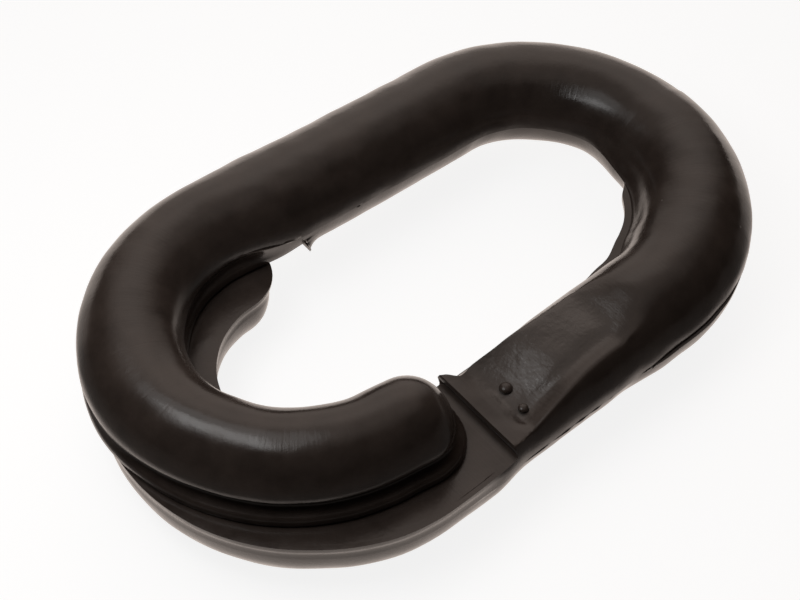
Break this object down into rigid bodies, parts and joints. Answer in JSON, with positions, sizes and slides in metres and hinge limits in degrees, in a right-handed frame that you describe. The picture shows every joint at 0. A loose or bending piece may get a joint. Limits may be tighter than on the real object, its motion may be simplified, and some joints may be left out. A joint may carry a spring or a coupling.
{
  "type": "lap-joint chain connecting link",
  "caption": "Oblong plastic chain joining link whose ends lap one over the other round one bend; the bow twists to open the lap and springs it shut.",
  "frame": {"origin": "centre of the eye, midway between the two legs, in the plane between the jaws' flat faces", "axes": "+X along the link towards the solid bow, +Y towards the leg that carries the upper jaw, +Z from the lower jaw to the upper jaw, the way the lap opens"},
  "size_m": [0.0525, 0.032, 0.0111],
  "materials": {
    "moulded_plastic": "satin near-black moulding, faint drag marks and scuffs, thin flash along the parting line"
  },
  "bodies": {
    "lower_half": {"lower_half": "moulded_plastic"},
    "upper_half": {"upper_half": "moulded_plastic"}
  },
  "joints": [
    {"name": "lap_opening", "type": "hinge", "parent": "lower_half", "child": "upper_half", "pos_m": [0.02265, 0, 0], "axis": [0, 1, 0], "range_deg": [0, 18], "stiffness_Nm_per_rad": 0.06}
  ]
}
